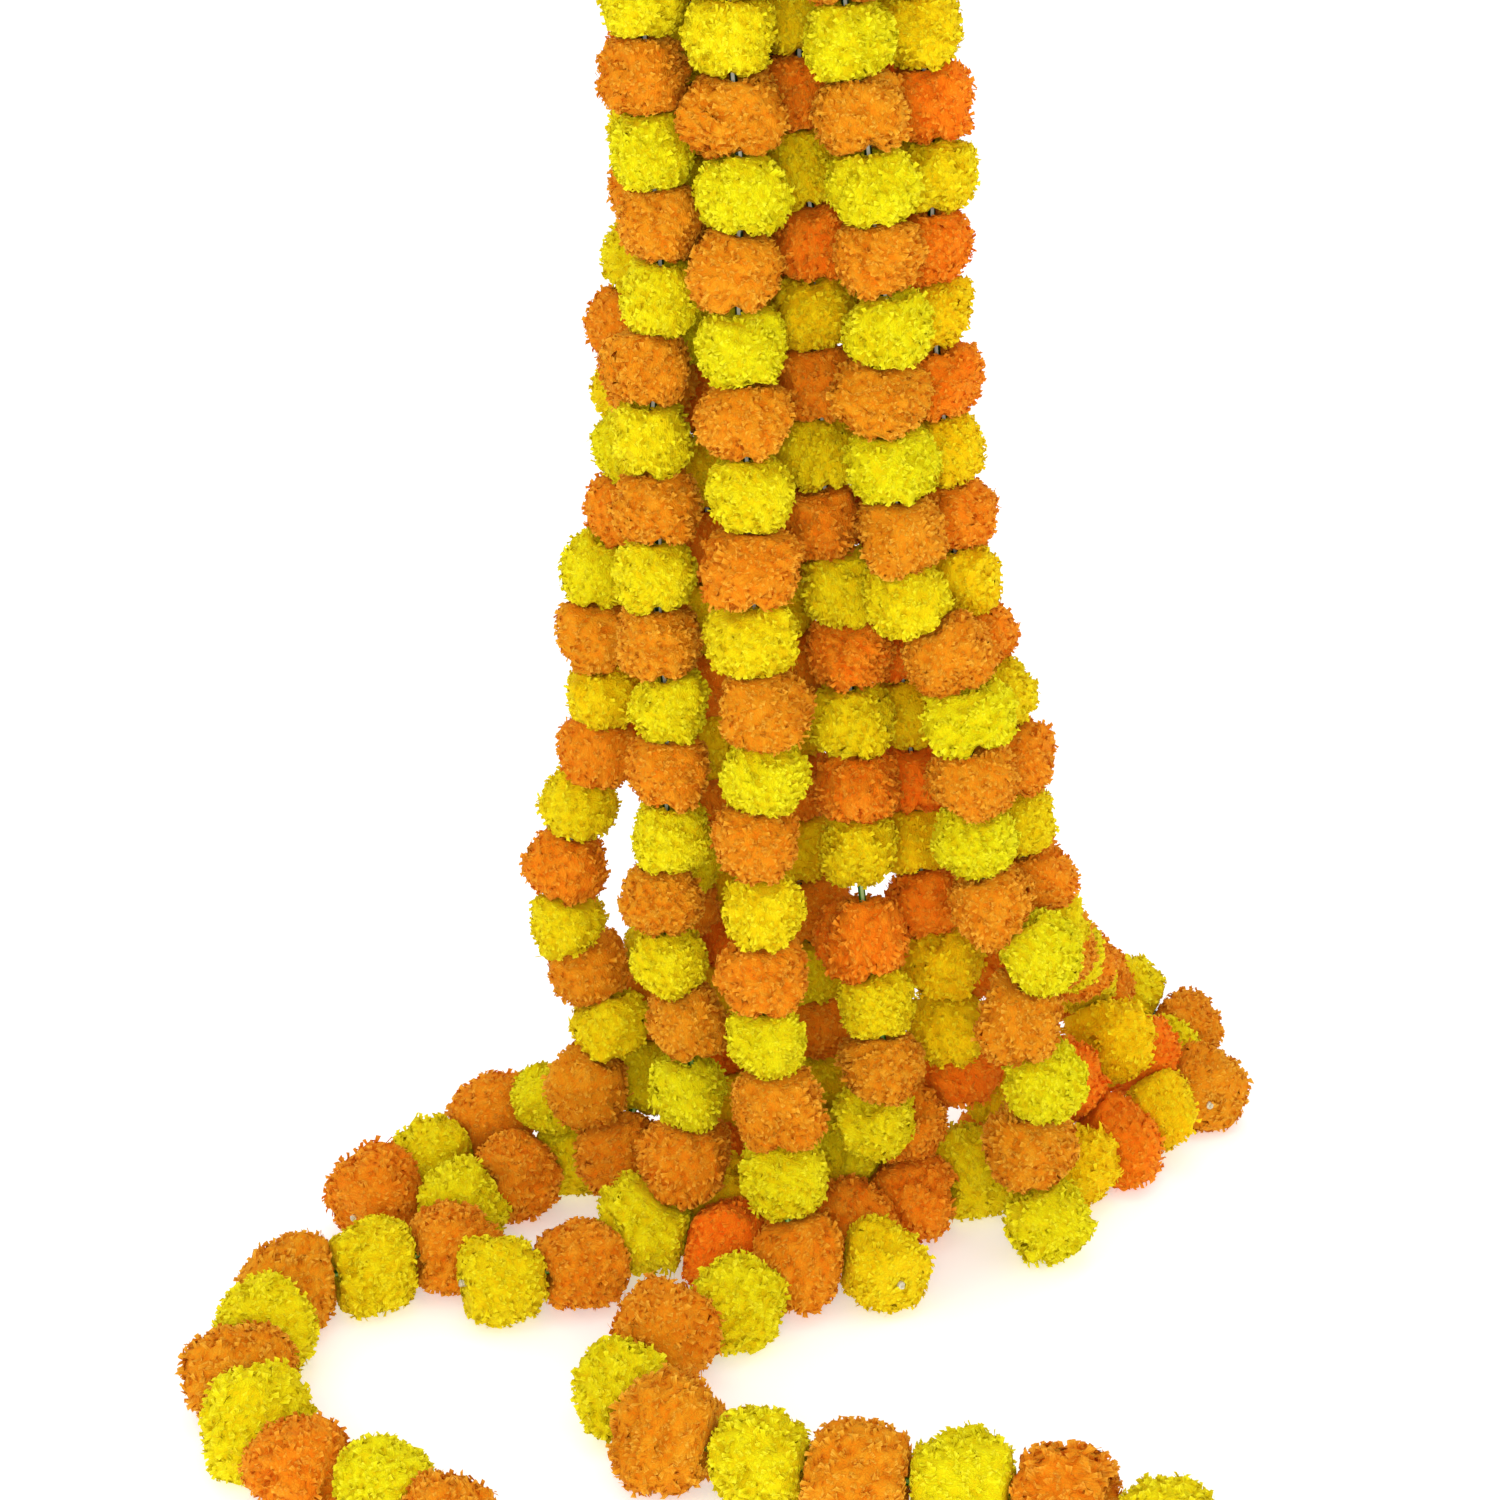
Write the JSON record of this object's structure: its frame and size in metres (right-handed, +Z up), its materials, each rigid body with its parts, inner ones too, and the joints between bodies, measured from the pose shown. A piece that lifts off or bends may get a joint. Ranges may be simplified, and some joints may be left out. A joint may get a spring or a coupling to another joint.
{
  "type": "marigold garland",
  "caption": "Hanging bunch of fabric pompom marigold strands, yellow and orange by turns on cord with drinking-straw spacers, trailing over the floor from one hanging loop.",
  "frame": {"origin": "inner top of the hanging loop, where a hook carries it; the floor that the strands trail over is 1.205 m below", "axes": "+Z up along the hanging strands, +X to the right and -Y towards the viewer, the way the long floor tails run"},
  "size_m": [0.7374, 0.8049, 1.2064],
  "materials": {
    "bloom_yellow": "soft crimped felt petals, matte",
    "bloom_orange": "soft crimped felt petals, matte",
    "cord": "twisted cotton cord, matte",
    "straw": "thin glossy green drinking straw",
    "binding": "cotton cord wound round the strands' ends"
  },
  "bodies": {
    "root": {"front_centre_blooms_1": "bloom_yellow", "front_centre_blooms_2": "bloom_orange", "front_centre_blooms_3": "bloom_orange", "front_centre_blooms_4": "bloom_orange", "front_centre_blooms_5": "bloom_orange", "front_centre_string": "cord", "front_left_blooms_1": "bloom_yellow", "front_left_blooms_2": "bloom_yellow", "front_left_blooms_3": "bloom_yellow", "front_left_blooms_4": "bloom_yellow", "front_left_string": "cord", "front_right_blooms_1": "bloom_yellow", "front_right_blooms_2": "bloom_orange", "front_right_blooms_3": "bloom_yellow", "front_right_string": "cord", "gathering_knot": "binding", "hanging_loop": "binding", "left_back_blooms_1": "bloom_yellow", "left_back_blooms_2": "bloom_yellow", "left_back_blooms_3": "bloom_yellow", "left_back_blooms_4": "bloom_yellow", "left_back_string": "cord", "left_middle_blooms_1": "bloom_yellow", "left_middle_blooms_2": "bloom_yellow", "left_middle_blooms_3": "bloom_yellow", "left_middle_blooms_4": "bloom_yellow", "left_middle_string": "cord", "middle_back_blooms_1": "bloom_yellow", "middle_back_blooms_2": "bloom_yellow", "middle_back_blooms_3": "bloom_yellow", "middle_back_blooms_4": "bloom_yellow", "middle_back_string": "cord", "middle_left_blooms_1": "bloom_yellow", "middle_left_blooms_2": "bloom_yellow", "middle_left_blooms_3": "bloom_yellow", "middle_left_blooms_4": "bloom_yellow", "middle_left_blooms_5": "bloom_orange", "middle_left_blooms_6": "bloom_yellow", "middle_left_string": "cord", "right_back_blooms_1": "bloom_yellow", "right_back_blooms_2": "bloom_yellow", "right_back_blooms_3": "bloom_yellow", "right_back_blooms_4": "bloom_orange", "right_back_blooms_5": "bloom_yellow", "right_back_string": "cord", "second_centre_blooms_1": "bloom_yellow", "second_centre_blooms_2": "bloom_yellow", "second_centre_blooms_3": "bloom_yellow", "second_centre_blooms_4": "bloom_yellow", "second_centre_string": "cord", "second_right_blooms_1": "bloom_yellow", "second_right_blooms_2": "bloom_orange", "second_right_blooms_3": "bloom_yellow", "second_right_blooms_4": "bloom_yellow", "second_right_string": "cord"}
  },
  "joints": []
}
